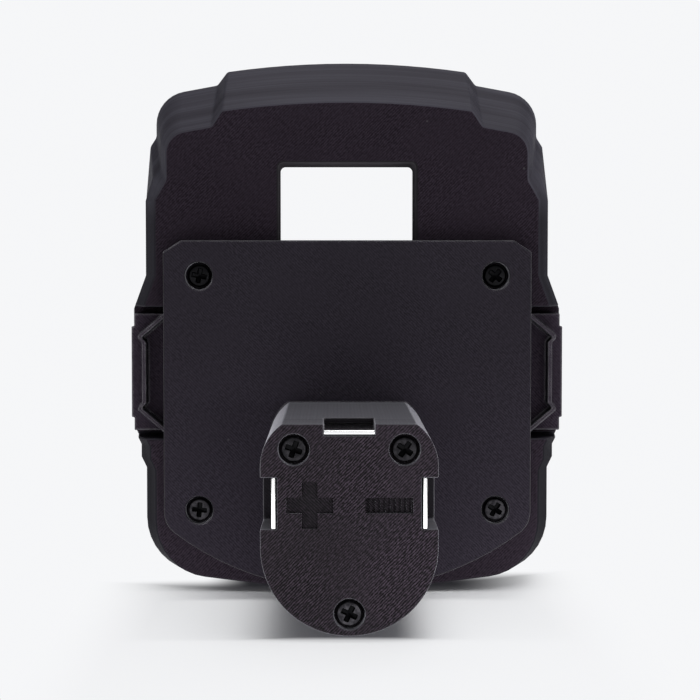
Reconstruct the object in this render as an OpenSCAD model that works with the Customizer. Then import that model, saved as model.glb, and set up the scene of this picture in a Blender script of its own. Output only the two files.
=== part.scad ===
// Tool battery adapter, printed in black plastic. A slide-on battery pack hangs on the rails at the back,
// and the D-shaped stem at the front plugs into the tool's socket, where two side latches hold it.
// The stem points along -Y, the pack slides down along -Z, and the part stands on z = 0.

/* [Stem] */
// Width of the stem across its flat sides
stem_w = 35; // [32:0.5:40]
// Height of the stem from its round bottom to its flat top
stem_h = 41.8; // [39:0.2:46]
// Length of the stem in front of the cover plate, end cap included
stem_len = 58; // [50:1:70]
// Width of the flat on top of the stem
stem_flat_w = 26.4; // [24:0.2:30]
// Radius of the arcs that run from the sides to the flat top
stem_shoulder_r = 10.2; // [8:0.2:13]
// Wall of the stem tube
stem_wall = 1.8; // [1.6:0.1:2.2]
// Height of the stem's bottom above the ground
stem_z = 1.3; // [0.8:0.1:2.4]

/* [Stem end cap] */
// Thickness of the end cap that shows
cap_t = 11; // [9:0.5:13]
// Length of the spigot on the cap that plugs into the stem tube
cap_spigot = 3; // [2:0.5:4]
// Distance of the two upper cap screws from the middle
cap_screw_x = 10.9; // [10:0.1:11.4]
// Depth of the two upper cap screws below the flat top
cap_screw_drop = 5; // [4.8:0.1:6]
// Height of the lower cap screw above the stem's bottom
cap_screw_rise = 4.3; // [4.1:0.1:6]
// Depth of the cap screw seats below the cap's face
cap_seat = 2.4; // [2:0.2:4]
// Length of the cap screws under their heads
cap_screw_len = 20; // [16:1:24]
// Diameter of the screw bosses inside the stem tube
boss_d = 6.8; // [5.6:0.2:7.2]
// Length of the screw bosses inside the stem tube
boss_len = 14; // [12:1:18]

/* [Stem contacts] */
// Width of the contact strips
contact_w = 10; // [8:0.5:11]
// Thickness of the contact strips
contact_t = 0.8; // [0.7:0.1:1.2]
// Length of the contact strips, solder tail included
contact_len = 28; // [25:1:34]
// Width of the solder tails
contact_tail_w = 5; // [4:0.5:6]
// Length of the open slots over the contact strips
slot_len = 16; // [14:0.5:20]
// Height of the middle of the side contacts above the stem's bottom
contact_rise = 26.2; // [24:0.1:28]
// Depth of the side contacts' outer faces below the stem's sides
contact_side_in = 2.2; // [2:0.1:2.6]
// Depth of the top contact's outer face below the flat top
contact_top_in = 1.2; // [0.9:0.1:1.4]
// Gap under the contacts in the cap's slots
contact_under = 0.3; // [0.1:0.05:0.5]

/* [Cover plate] */
// Width of the cover plate
cover_w = 83; // [80:1:86]
// Height of the cover plate's top edge
cover_top = 79.7; // [78:0.1:82]
// Thickness of the cover plate
cover_t = 5; // [4.5:0.5:6]
// Width of the chamfers on its upper corners
cover_chamfer_w = 4; // [2:0.5:6]
// Height of the chamfers on its upper corners
cover_chamfer_h = 2.6; // [1:0.2:4]
// Radius of its rounded lower edge
cover_bottom_r = 65; // [60:1:80]
// Height at which the rounded lower edge meets its sides
cover_side_z = 15.3; // [14:0.1:17]
// Radius of its lower corners
cover_corner_r = 6; // [3:0.5:8]
// Clearance of its lowest edge above the ground
cover_clear = 1.2; // [0.6:0.1:1.6]
// Distance between the cover screws across the plate
cover_screw_w = 67; // [64:0.5:70]
// Distance between the cover screws up the plate
cover_screw_h = 53; // [50:0.5:54]
// Height of the lower cover screws
cover_screw_z = 18.7; // [18:0.1:21]
// Depth of the upper screw seats below the plate's face
upper_seat = 3.6; // [2.4:0.2:3.8]
// Depth of the lower screw seats below the plate's face
lower_seat = 2.3; // [2:0.1:3]
// Length of the cover screws under their heads
cover_screw_len = 12; // [10:1:16]

/* [Screws] */
// Diameter of the screw shanks
screw_d = 2.6; // [2.2:0.1:3]
// Diameter of the screw heads
head_d = 5.2; // [4.6:0.1:5.6]
// Height of the screw heads
head_h = 1.8; // [1.4:0.1:2]
// Diameter of the recesses that the heads sit in
recess_d = 6.2; // [5.8:0.1:6.8]

/* [Body] */
// Width of the body's front face below its neck
body_w = 87.6; // [86:0.2:90]
// Width at the crease in the sides below the neck
crease_w = 93; // [91:0.5:96]
// Width of the body's back face below its neck
body_back_w = 96.4; // [94:0.4:100]
// Width of the body's front face above its neck
upper_w = 82.5; // [80:0.5:84]
// Width at the crease in the sides above the neck
upper_crease_w = 86; // [85:0.5:89]
// Width of the body's back face above its neck
upper_back_w = 91.2; // [89:0.4:94]
// Distance of the crease in the sides behind the front face
crease_y = 7; // [5:0.5:10]
// Depth of the body from its front face to the face that carries the rails
body_d = 25; // [23:0.5:30]
// Height of the neck's lower end
neck_z = 88.9; // [86:0.1:91]
// Height of the neck's slope on the front face
neck_h = 4.4; // [3.4:0.2:6]
// Height of the neck's slope on the back face
neck_back_h = 15.9; // [12:0.3:17]
// Width of the flat that the body stands on
foot_w = 24; // [16:1:40]
// Rise of the bottom from the flat to the lower corners
toe_rise = 4; // [2:0.2:8]
// Radius of the lower corners
bottom_r = 13; // [10:0.5:18]
// Width of the crown on top
crown_w = 57; // [50:0.5:60]
// Height of the ends of the crown's front edge
crown_z = 109.1; // [107:0.1:111]
// Rise of the top from its front edge to its back edge
crown_rise = 11.3; // [9:0.1:13]
// Radius of the crown's arch
crown_r = 200; // [120:5:300]
// Width of the steps beside the crown
step_w = 2.4; // [1.8:0.2:3.6]
// Height of the steps beside the crown on the front face
step_h = 3.6; // [2.8:0.1:4.4]
// Height of the steps beside the crown on the back face
step_back_h = 3.2; // [2.4:0.1:4]
// Slope of the shoulders in degrees
shoulder_slope = 10.5; // [6:0.5:14]
// Radius of the shoulders' outer corners on the front face
shoulder_r = 5; // [4:0.5:6]
// Radius of the shoulders' outer corners on the back face
shoulder_back_r = 8; // [6:0.5:8.5]
// Radius of the small rounds beside the crown
crown_round = 1.2; // [0.6:0.1:1.6]

/* [Window] */
// Width of the window that the pack's hook catches in
window_w = 31.6; // [28:0.2:36]
// Height of the window's top edge
window_top = 97.5; // [96:0.1:99]
// Height of the window
window_h = 20.2; // [18:0.2:22]
// Radius of the window's corners
window_r = 1.2; // [0.5:0.1:3]

/* [Wiring bay] */
// Width of the wiring bay
bay_w = 39; // [38:0.5:42]
// Height of the bay's lower wall
bay_z = 9; // [7:0.5:12]
// Height of the bay
bay_h = 58; // [54:1:62]
// Thickness of the wall between the bay and the rails
floor_t = 5; // [4.5:0.5:7]
// Thickness of the walls between the bay and the latches
bay_wall = 2.5; // [2:0.25:3.5]

/* [Latches] */
// Height of the middle of the latches
latch_z = 49.5; // [48:0.1:51]
// Height of the latches
latch_h = 27; // [24:0.5:28]
// Distance that the latches stand out from the body's front sides
latch_reach = 5.9; // [5.6:0.1:7]
// Depth of the latches along the stem's direction
latch_d = 16; // [14:0.5:17]
// Depth of the hollow rim on the front of the latches
latch_rim_d = 4.5; // [3.5:0.5:7]
// Wall of the hollow rim
latch_rim_wall = 1; // [0.8:0.1:1.6]
// Thickness of the finger pads beside the rim
latch_pad_t = 1.9; // [1.6:0.1:2.8]
// Distance that the finger pads stand out from the ends beside them
latch_pad_proud = 0.6; // [0.6:0.1:1.2]
// Length that the finger pads leave free at each end
latch_pad_inset = 3; // [2:0.25:4]
// Number of grip grooves in each finger pad
latch_grooves = 3; // [2:1:4]
// Width of the rim's slanted corners
latch_slant_w = 5.7; // [4:0.1:7]
// Height of the rim's slanted corners
latch_slant_h = 4.9; // [4:0.1:6]
// Depth of the relief in the rim's upright wall
latch_relief = 0.9; // [0.5:0.1:1.2]
// Length of the upright wall that the relief leaves at each end
latch_relief_end = 0.7; // [0.7:0.1:2]
// Travel of the latches when they are pressed in
latch_travel = 3; // [2:0.25:4]
// Height of the ears that keep the latches in their pockets
latch_ear = 3; // [2.6:0.2:3.6]
// Thickness of the ears
latch_ear_t = 4.8; // [4:0.2:5.6]
// Clearance of the latches in the mouths of their pockets
latch_gap = 1.6; // [1.2:0.1:1.8]
// Rise of the guards above the latches
guard_upper = 2.9; // [2:0.1:3.4]
// Rise of the guards below the latches
guard_lower = 1.2; // [0.8:0.2:2]

/* [Latch springs] */
// Outer diameter of the springs
spring_d = 5.6; // [5:0.2:6]
// Wire of the springs
spring_wire = 0.6; // [0.4:0.05:0.8]
// Number of coils in each spring
spring_coils = 7; // [5:1:9]
// Depth of the spring holes in the latches
spring_hole = 6; // [4:0.5:8]

/* [Pack rails] */
// Width between the rail walls, where the pack's tongue slides
slot_w = 66; // [62:0.5:68]
// Width of the lips that hold the tongue
lip_w = 4.6; // [3.5:0.1:6]
// Thickness of the lips
lip_t = 3.5; // [3:0.25:5]
// Height of the grooves under the lips
groove_h = 5.5; // [5:0.25:7]
// Thickness of the rail walls
rail_wall = 4; // [3:0.25:5]
// Height of the stop at the bottom of the rails
stop_z = 16; // [14:0.5:18]
// Thickness of the stop
stop_t = 4; // [3:0.5:5]
// Height of the rails' open upper ends
rail_top = 104; // [98:0.5:106]
// Length of the lead-in at the upper ends of the lips
lead_in = 6; // [4:0.5:10]

/* [Terminals] */
// Height of the middle of the terminal block
block_z = 33; // [32:0.5:36]
// Width of the terminal block's plug
block_w = 33; // [30:0.5:34]
// Height of the terminal block's plug
block_h = 15; // [14:0.5:16]
// Distance that the plug stands out among the rails
block_proud = 2; // [1:0.25:3]
// Thickness of the terminal block's flange in the bay
flange_t = 3; // [2.5:0.25:4]
// Width of the flange's rim round the plug
flange_rim = 1.5; // [1:0.25:2]
// Height of the flange's screw ears
flange_ear = 7; // [6.6:0.2:8]
// Length of the terminal block's screws under their heads
block_screw_len = 6; // [5:0.5:6]
// Distance of the power blades from the middle
blade_x = 11; // [9:0.5:13]
// Height of the power blades along the rails
blade_h = 11; // [8:0.5:12]
// Height of the signal blade along the rails
signal_h = 6; // [5:0.5:8]
// Thickness of the blades
blade_t = 1; // [0.8:0.1:1.2]
// Distance that the blades stand out among the rails
blade_proud = 8; // [6:0.25:8.5]
// Chamfer on the blades' corners
blade_chamfer = 1.5; // [0.5:0.25:2.5]
// Length of the solder tails in the bay
blade_tail = 7; // [5:0.5:8]

/* [Wires] */
// Diameter of the power wires
wire_d = 2.6; // [2:0.1:3]
// Diameter of the signal wire
signal_wire_d = 1.6; // [1.2:0.1:2]
// Length of the soldered ends of the wires
solder_len = 5; // [4:0.5:6]

/* [Clearances] */
// Clearance of fitted plates, plugs and screws
fit = 0.1; // [0.05:0.01:0.15]
// Clearance of the latches' ears and faces in their pockets
slide_gap = 0.3; // [0.25:0.05:0.5]

/* [Hidden] */
$fn = 96;

// Colours of the printed plastic, the metal parts and the wires
printed = "#242226";
hardware = "#1b1b1d";
plated = "#c9cacb";
spring_steel = "#8d9093";
red_lead = "#a3201c";
black_lead = "#161616";
yellow_lead = "#c9a21f";

// Places along the depth, with the whole part centred on y = 0
rail_h = groove_h + lip_t;
depth = stem_len + cover_t + body_d + rail_h;
stem_y = -depth / 2;
tube_y = stem_y + cap_t;
cover_y = stem_y + stem_len;
body_y = cover_y + cover_t;
back_y = body_y + body_d;
bay_floor_y = back_y - floor_t;
rail_y = back_y + rail_h;
boss_y = tube_y + cap_spigot + fit;
past = 1;

// Stem outline: its top, and where its round bottom and its shoulder arcs are centred
stem_top = stem_z + stem_h;
stem_round_z = stem_z + stem_w / 2;
stem_shoulder_x = stem_w / 2 - stem_shoulder_r;
stem_shoulder_z = stem_top - sqrt(pow(stem_shoulder_r, 2) - pow(stem_flat_w / 2 - stem_shoulder_x, 2));

// Contacts: depth of their inner faces under the stem's surface, and how far their wide part runs past the slots
contact_side_floor = contact_side_in + contact_t;
contact_top_floor = contact_top_in + contact_t;
contact_z = stem_z + contact_rise;
contact_tuck = 2;

// Screw places as seen from the front
cap_screws_at = [
    [-cap_screw_x, stem_top - cap_screw_drop],
    [cap_screw_x, stem_top - cap_screw_drop],
    [0, stem_z + cap_screw_rise]
];
cover_screws_at = [
    for (side = [-1, 1])
        for (row = [[0, lower_seat], [cover_screw_h, upper_seat]])
            [side * cover_screw_w / 2, cover_screw_z + row[0], row[1]]
];
block_screws_at = [for (side = [-1, 1]) [0, block_z + side * (block_h + flange_ear) / 2]];
shank_bore = screw_d + 2 * fit;
bore_spare = 1;

// Screws: shares of the head's height and width that its crown takes, and of the shank that its tip takes
head_crown_share = 0.45;
head_flat_share = 0.6;
tip_share = 0.6;

// Cover plate: centre of the arc along its lower edge
cover_arc_z = cover_side_z + sqrt(pow(cover_bottom_r, 2) - pow(cover_w / 2, 2));

// Latches, written for the right-hand one
latch_low = latch_z - latch_h / 2;
latch_high = latch_z + latch_h / 2;
latch_x = body_w / 2 + latch_reach;
latch_base_x = latch_x - latch_pad_proud;
latch_rim_x = latch_x - latch_pad_t;
latch_y = body_y + slide_gap;
seat_x = bay_w / 2 + bay_wall;
spring_spare = 6;
ear_x = seat_x + latch_travel + spring_spare;
lip_x = ear_x + latch_ear_t + 2 * fit;
pocket_d = latch_d + 2 * slide_gap;
spring_y = latch_y + (latch_rim_d + latch_d) / 2;
spring_room = 0.5;
spring_hole_d = spring_d + 2 * spring_room;
spigot_room = 0.4;
spigot_d = spring_d - 2 * (spring_wire + spigot_room);
spigot_len = 3;
groove_w = 0.8;
groove_depth = 0.5;
rim_slant_ease = 0.4;

// Guards: how far their slopes and flats reach past the latches
guard_upper_len = 8.7;
guard_upper_flat = 0.8;
guard_lower_len = 8.8;
guard_lower_flat = 3.4;
guard_slope = 2.5;

// Neck: how much of the step in width its outer corner keeps, on the front and back faces
neck_bulge_front = 0.5;
neck_bulge_back = 0.55;

// Points on each rounded corner and on each half of the crown's arch
corner_steps = 8;
arch_steps = 6;

// Half of a full turn in degrees
half_turn = 180;

function unit(v) = v / norm(v);

// Arc of radius r that rounds the corner b between a and c
function corner(a, b, c, r) =
    let (
        u = unit(a - b),
        v = unit(c - b),
        half = acos(u * v) / 2,
        centre = b + unit(u + v) * r / sin(half),
        from = b + u * r / tan(half) - centre,
        to = b + v * r / tan(half) - centre,
        start = atan2(from[1], from[0]),
        turn = (atan2(to[1], to[0]) - start + 3 * half_turn) % (2 * half_turn) - half_turn
    )
    [for (i = [0:corner_steps]) centre + r * [cos(start + turn * i / corner_steps), sin(start + turn * i / corner_steps)]];

// Outline through [x, z, radius] corners, each rounded by its radius, with the two ends kept
function rounded(corners) = [
    for (i = [0:len(corners) - 1])
        let (
            here = [corners[i][0], corners[i][1]],
            before = [for (k = [0:1]) corners[max(i - 1, 0)][k]],
            after = [for (k = [0:1]) corners[min(i + 1, len(corners) - 1)][k]]
        )
        each corners[i][2] == 0 ? [here] : corner(before, here, after, corners[i][2])
];

// Whole outline from its right half, listed from bottom to top
function mirrored_outline(half) = concat(half, [for (i = [len(half) - 1:-1:0]) if (half[i][0] > 0) [-half[i][0], half[i][1]]]);

// Smooth curve through the points of a route
route_steps = 6;
function smooth(route) = concat(
    [
        for (i = [0:len(route) - 2])
            let (
                a = route[max(i - 1, 0)],
                b = route[i],
                c = route[i + 1],
                d = route[min(i + 2, len(route) - 1)]
            )
            for (k = [0:route_steps - 1])
                let (t = k / route_steps)
                (2 * b + (c - a) * t + (2 * a - 5 * b + 4 * c - d) * t * t + (3 * b - a - 3 * c + d) * t * t * t) / 2
    ],
    [route[len(route) - 1]]
);

// Closed skin over rings of points, each ring anticlockwise as seen along the rings
module skin(rings) {
    count = len(rings[0]);
    last = (len(rings) - 1) * count;
    walls = [
        for (s = [0:len(rings) - 2])
            for (i = [0:count - 1])
                let (a = s * count + i, b = s * count + (i + 1) % count)
                each [[a, b, b + count], [a, b + count, a + count]]
    ];
    start = [for (i = [count - 1:-1:0]) i];
    end = [for (i = [0:count - 1]) last + i];
    polyhedron([for (ring = rings) each ring], concat([start, end], walls));
}

// Round wire of diameter d along a route that runs mainly along Y
wire_sides = 8;
module wire_along(route, d) {
    path = smooth(route);
    skin([
        for (i = [0:len(path) - 1])
            let (
                ahead = unit(path[min(i + 1, len(path) - 1)] - path[max(i - 1, 0)]),
                across = unit(cross(ahead, [0, 0, 1])),
                up = cross(across, ahead)
            )
            [for (k = [0:wire_sides - 1]) path[i] + d / 2 * (across * cos(360 * k / wire_sides) + up * sin(360 * k / wire_sides))]
    ]);
}

// Solid of a front-view outline from y0 back to y1
module slab(y0, y1) {
    translate([0, y1, 0]) rotate([90, 0, 0]) linear_extrude(y1 - y0) children();
}

// Round hole or boss along Y, placed by its front-view point
module round_at(point, d, y0, y1) {
    translate([point[0], y0, point[1]]) rotate([-90, 0, 0]) cylinder(d = d, h = y1 - y0);
}

module both_sides() {
    children();
    mirror([1, 0, 0]) children();
}

// Self-tapping pan-head screw along +Y, with the underside of its head at y
module screw(point, y, length) {
    crown = head_h * head_crown_share;
    tip = screw_d * tip_share;
    translate([point[0], y, point[1]]) rotate([-90, 0, 0]) rotate_extrude() polygon([
        [0, -head_h],
        [head_d / 2 * head_flat_share, -head_h],
        [head_d / 2, -crown],
        [head_d / 2, 0],
        [screw_d / 2, 0],
        [screw_d / 2, length - tip],
        [0, length]
    ]);
}

// D-shaped stem outline, drawn in by inset: round below, upright sides, arcs up to the flat top
module stem_outline(inset = 0) {
    half = stem_w / 2 - inset;
    top = stem_top - inset;
    translate([0, stem_round_z]) circle(half);
    translate([-half, stem_round_z]) square([2 * half, stem_shoulder_z - stem_round_z]);
    intersection() {
        union() {
            for (side = [-1, 1]) translate([side * stem_shoulder_x, stem_shoulder_z]) circle(stem_shoulder_r - inset);
            translate([-stem_shoulder_x, stem_shoulder_z]) square([2 * stem_shoulder_x, stem_shoulder_r]);
        }
        translate([-half, stem_round_z]) square([2 * half, top - stem_round_z]);
    }
}

// Slots for the three contacts, cut in from the stem's surface to a gap under the contacts
module contact_slots(under, y0, y1) {
    wide = contact_w + 2 * fit;
    top_cut = contact_top_floor + under;
    side_cut = contact_side_floor + under;
    translate([-wide / 2, y0, stem_top - top_cut]) cube([wide, y1 - y0, top_cut + past]);
    both_sides() translate([stem_w / 2 - side_cut, y0, contact_z - wide / 2]) cube([side_cut + past, y1 - y0, wide]);
}

// Screw bosses inside the stem tube, each filled out to the wall beside it
module stem_bosses() {
    slab(boss_y, boss_y + boss_len) intersection() {
        stem_outline(stem_wall / 2);
        union() {
            for (place = cap_screws_at) translate(place) circle(d = boss_d);
            both_sides() translate(cap_screws_at[1]) square(stem_w);
            translate([-boss_d / 2, 0]) square([boss_d, cap_screws_at[2][1]]);
        }
    }
}

module stem_cap() {
    color(printed) difference() {
        union() {
            slab(stem_y, tube_y) stem_outline();
            slab(tube_y - past, tube_y + cap_spigot) stem_outline(stem_wall + fit);
        }
        contact_slots(contact_under, stem_y - past, tube_y + cap_spigot + past);
        for (place = cap_screws_at) {
            round_at(place, shank_bore, stem_y, tube_y + cap_spigot + past);
            round_at(place, recess_d, stem_y - past, stem_y + cap_seat);
        }
    }
}

module cap_screws() {
    color(hardware) for (place = cap_screws_at) screw(place, stem_y + cap_seat, cap_screw_len);
}

// Outline of a contact strip with its solder tail, front edge on the X axis, grown by spare at its sides and end
module contact_outline(spare = 0) {
    translate([-contact_w / 2 - spare, 0]) square([contact_w + 2 * spare, slot_len + contact_tuck + spare]);
    translate([-contact_tail_w / 2 - spare, 0]) square([contact_tail_w + 2 * spare, contact_len + spare]);
}

module side_contact() {
    translate([stem_w / 2 - contact_side_floor, stem_y, contact_z]) rotate([0, 90, 0])
        linear_extrude(contact_t) contact_outline();
}

module contact_negative() {
    color(plated) side_contact();
}

module contact_positive() {
    color(plated) mirror([1, 0, 0]) side_contact();
}

module contact_signal() {
    color(plated) translate([0, stem_y, stem_top - contact_top_floor]) linear_extrude(contact_t) contact_outline();
}

// Room for the top contact where it runs on under the tube's wall
module contact_bed() {
    translate([0, stem_y, stem_top - stem_wall - past])
        linear_extrude(stem_wall + past - contact_top_in + fit) contact_outline(fit);
}

// Cover plate outline: chamfered above, rounded below
module cover_outline() {
    half = cover_w / 2;
    corner_z = cover_arc_z - sqrt(pow(cover_bottom_r - cover_corner_r, 2) - pow(half - cover_corner_r, 2));
    toe_x = sqrt(pow(cover_bottom_r, 2) - pow(cover_arc_z - cover_clear, 2));
    toe_angle = asin(toe_x / cover_bottom_r);
    join_angle = asin((half - cover_corner_r) / (cover_bottom_r - cover_corner_r));
    right = concat(
        [
            for (i = [0:corner_steps])
                let (a = toe_angle + (join_angle - toe_angle) * i / corner_steps)
                [cover_bottom_r * sin(a), cover_arc_z - cover_bottom_r * cos(a)]
        ],
        [
            for (i = [1:corner_steps])
                let (a = join_angle + (90 - join_angle) * i / corner_steps)
                [half - cover_corner_r + cover_corner_r * sin(a), corner_z - cover_corner_r * cos(a)]
        ],
        [[half, cover_top - cover_chamfer_h], [half - cover_chamfer_w, cover_top]]
    );
    polygon(mirrored_outline(right));
}

module front_cover() {
    color(printed) difference() {
        union() {
            difference() {
                union() {
                    slab(cover_y, body_y) cover_outline();
                    slab(tube_y, cover_y + past) stem_outline();
                }
                slab(tube_y - past, body_y + past) stem_outline(stem_wall);
                contact_slots(0, tube_y - past, stem_y + slot_len);
                contact_bed();
            }
            stem_bosses();
        }
        for (place = cap_screws_at)
            round_at(place, shank_bore, boss_y - past, stem_y + cap_seat + cap_screw_len + bore_spare);
        for (place = cover_screws_at) {
            round_at(place, shank_bore, cover_y, body_y + past);
            round_at(place, recess_d, cover_y - past, cover_y + place[2]);
        }
    }
}

module cover_screws() {
    color(hardware) for (place = cover_screws_at) screw(place, cover_y + place[2], cover_screw_len);
}

// Outline of the body at a share of its depth, from its half widths below and above the neck
function body_outline(share, half, upper) =
    let (
        lift = crown_rise * share,
        crown_end = [crown_w / 2, crown_z + lift],
        step_end = crown_end + [step_w, (step_h - step_back_h) * share - step_h],
        shoulder_z = step_end[1] - (upper - step_end[0]) * tan(shoulder_slope),
        round_r = shoulder_r + (shoulder_back_r - shoulder_r) * share,
        neck_top = neck_z + neck_h + (neck_back_h - neck_h) * share,
        neck_bulge = (half - upper) * (neck_bulge_front + (neck_bulge_back - neck_bulge_front) * share),
        arch_z = crown_end[1] - sqrt(pow(crown_r, 2) - pow(crown_end[0], 2)),
        arch_angle = asin(crown_end[0] / crown_r),
        arch = [
            for (i = [arch_steps - 1:-1:0])
                let (a = arch_angle * i / arch_steps)
                [crown_r * sin(a), arch_z + crown_r * cos(a)]
        ]
    )
    mirrored_outline(concat(
        rounded([
            [foot_w / 2, 0, 0],
            [half, toe_rise, bottom_r],
            [half, latch_low - guard_lower_len, 0],
            [half + guard_lower, latch_low - guard_lower_len + guard_slope, 0],
            [half + guard_lower, latch_low - guard_lower_flat, 0],
            [half + guard_upper, latch_low, 0],
            [half + guard_upper, latch_high + guard_upper_flat, 0],
            [half, latch_high + guard_upper_len, 0],
            [half, neck_z, 0],
            [upper + neck_bulge, neck_top - neck_h / 2, 0],
            [upper, neck_top, 0],
            [upper, shoulder_z, round_r],
            [step_end[0], step_end[1], crown_round],
            [crown_end[0], crown_end[1], crown_round],
            [arch[0][0], arch[0][1], 0]
        ]),
        [for (i = [1:arch_steps - 1]) arch[i]]
    ));

// Body block, lofted from its front face through the crease to its back face
module body_block() {
    stations = [
        [0, body_w, upper_w],
        [crease_y / body_d, crease_w, upper_crease_w],
        [1, body_back_w, upper_back_w]
    ];
    skin([
        for (station = stations)
            [
                for (p = body_outline(station[0], station[1] / 2, station[2] / 2))
                    [p[0], body_y + station[0] * body_d, p[1]]
            ]
    ]);
}

// Pocket of the right-hand latch: a wide part for its ears and a mouth through the side
module latch_pocket() {
    ears = latch_h + 2 * (latch_ear + slide_gap);
    mouth = latch_h + 2 * latch_gap;
    translate([seat_x, body_y - past, latch_z - ears / 2]) cube([lip_x - seat_x, pocket_d + past, ears]);
    translate([seat_x, body_y - past, latch_z - mouth / 2]) cube([body_back_w, pocket_d + past, mouth]);
}

// Spigot that centres the right-hand latch spring
module spring_spigot() {
    translate([seat_x - past, spring_y, latch_z]) rotate([0, 90, 0]) cylinder(d = spigot_d, h = spigot_len + past);
}

// Two rails with lips, joined by the stop at the bottom
module rails() {
    wall_x = slot_w / 2;
    mouth_x = wall_x - lip_w;
    outer_x = wall_x + rail_wall;
    both_sides() difference() {
        translate([0, 0, stop_z]) linear_extrude(rail_top - stop_z) polygon([
            [wall_x, back_y - past],
            [outer_x, back_y - past],
            [outer_x, rail_y],
            [mouth_x, rail_y],
            [mouth_x, back_y + groove_h],
            [wall_x, back_y + groove_h]
        ]);
        slab(back_y + groove_h - past, rail_y + past) polygon([
            [mouth_x - past, rail_top + past],
            [mouth_x - past, rail_top - lead_in],
            [mouth_x, rail_top - lead_in],
            [wall_x, rail_top],
            [wall_x, rail_top + past]
        ]);
    }
    translate([-wall_x - past, back_y - past, stop_z]) cube([slot_w + 2 * past, rail_h + past, stop_t]);
}

module body() {
    color(printed) difference() {
        union() {
            difference() {
                body_block();
                translate([-bay_w / 2, body_y - past, bay_z]) cube([bay_w, bay_floor_y - body_y + past, bay_h]);
                both_sides() latch_pocket();
            }
            rails();
            both_sides() spring_spigot();
        }
        slab(body_y - past, back_y + past) translate([0, window_top - window_h / 2]) offset(window_r)
            square([window_w - 2 * window_r, window_h - 2 * window_r], center = true);
        translate([-block_w / 2 - fit, bay_floor_y - past, block_z - block_h / 2 - fit])
            cube([block_w + 2 * fit, floor_t + 2 * past, block_h + 2 * fit]);
        for (place = cover_screws_at)
            round_at(place, shank_bore, body_y - past, cover_y + place[2] + cover_screw_len + bore_spare);
        for (place = block_screws_at)
            round_at(place, shank_bore, bay_floor_y - past, bay_floor_y + block_screw_len - flange_t + bore_spare);
    }
}

// Outline of the right-hand latch's rim, drawn in by inset
module latch_rim(inset) {
    out_x = latch_rim_x - inset;
    high = latch_h / 2 - inset;
    ease = inset * rim_slant_ease;
    upright = latch_h / 2 - latch_slant_h;
    relief = upright - latch_relief_end;
    right = [
        [ear_x + inset, high],
        [latch_rim_x - latch_slant_w - ease, high],
        [out_x, upright - ease],
        [out_x, relief],
        [out_x - latch_relief, relief - latch_relief]
    ];
    translate([0, latch_z]) polygon(concat(right, [for (i = [len(right) - 1:-1:0]) [right[i][0], -right[i][1]]]));
}

// Right-hand latch: a hollow rim in front of a block with a grooved finger pad and two ears
module latch() {
    rim_back = latch_y + latch_rim_d;
    back = latch_y + latch_d;
    pad_h = latch_h - 2 * latch_pad_inset;
    groove_pitch = (latch_d - latch_rim_d) / (latch_grooves + 1);
    ears = latch_h + 2 * latch_ear;
    difference() {
        union() {
            slab(latch_y, rim_back + past) latch_rim(0);
            translate([ear_x, rim_back, latch_low]) cube([latch_base_x - ear_x, back - rim_back, latch_h]);
            translate([ear_x, rim_back, latch_z - pad_h / 2]) cube([latch_x - ear_x, back - rim_back, pad_h]);
            translate([ear_x, latch_y, latch_z - ears / 2]) cube([latch_ear_t, latch_d, ears]);
        }
        slab(latch_y - past, rim_back) latch_rim(latch_rim_wall);
        translate([ear_x - past, spring_y, latch_z]) rotate([0, 90, 0]) cylinder(d = spring_hole_d, h = spring_hole + past);
        for (i = [1:latch_grooves])
            translate([latch_x - groove_depth, rim_back + i * groove_pitch - groove_w / 2, latch_low - past])
                cube([groove_depth + past, groove_w, latch_h + 2 * past]);
    }
}

module latch_right() {
    color(printed) latch();
}

module latch_left() {
    color(printed) mirror([1, 0, 0]) latch();
}

// Coil of the right-hand latch spring, from its seat on the body to the bottom of the latch's hole
module spring() {
    rings_per_coil = 8;
    sides = 6;
    r = spring_wire / 2;
    coil_r = spring_d / 2 - r;
    start_x = seat_x + fit + r;
    end_x = ear_x + spring_hole - fit - r;
    count = spring_coils * rings_per_coil;
    skin([
        for (i = [0:count])
            let (
                turn = 360 * i / rings_per_coil,
                outward = [0, cos(turn), sin(turn)],
                middle = [start_x + (end_x - start_x) * i / count, spring_y, latch_z] + coil_r * outward
            )
            [for (k = [0:sides - 1]) middle + r * (outward * cos(360 * k / sides) + [sin(360 * k / sides), 0, 0])]
    ]);
}

module latch_spring_right() {
    color(spring_steel) spring();
}

module latch_spring_left() {
    color(spring_steel) mirror([1, 0, 0]) spring();
}

// Upright slot for a blade through the terminal block
module blade_slot(x, high) {
    translate([x - blade_t / 2 - fit, bay_floor_y - flange_t - past, block_z - high / 2 - fit])
        cube([blade_t + 2 * fit, back_y + block_proud - bay_floor_y + flange_t + 2 * past, high + 2 * fit]);
}

module terminal_block() {
    flange_w = block_w + 2 * flange_rim;
    flange_h = block_h + 2 * flange_ear;
    color(printed) difference() {
        union() {
            translate([-flange_w / 2, bay_floor_y - flange_t, block_z - flange_h / 2])
                cube([flange_w, flange_t, flange_h]);
            translate([-block_w / 2, bay_floor_y - past, block_z - block_h / 2])
                cube([block_w, back_y + block_proud - bay_floor_y + past, block_h]);
        }
        for (side = [-1, 1]) blade_slot(side * blade_x, blade_h);
        blade_slot(0, signal_h);
        for (place = block_screws_at) round_at(place, shank_bore, bay_floor_y - flange_t - past, bay_floor_y + past);
    }
}

module terminal_block_screws() {
    color(hardware) for (place = block_screws_at) screw(place, bay_floor_y - flange_t, block_screw_len);
}

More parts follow.
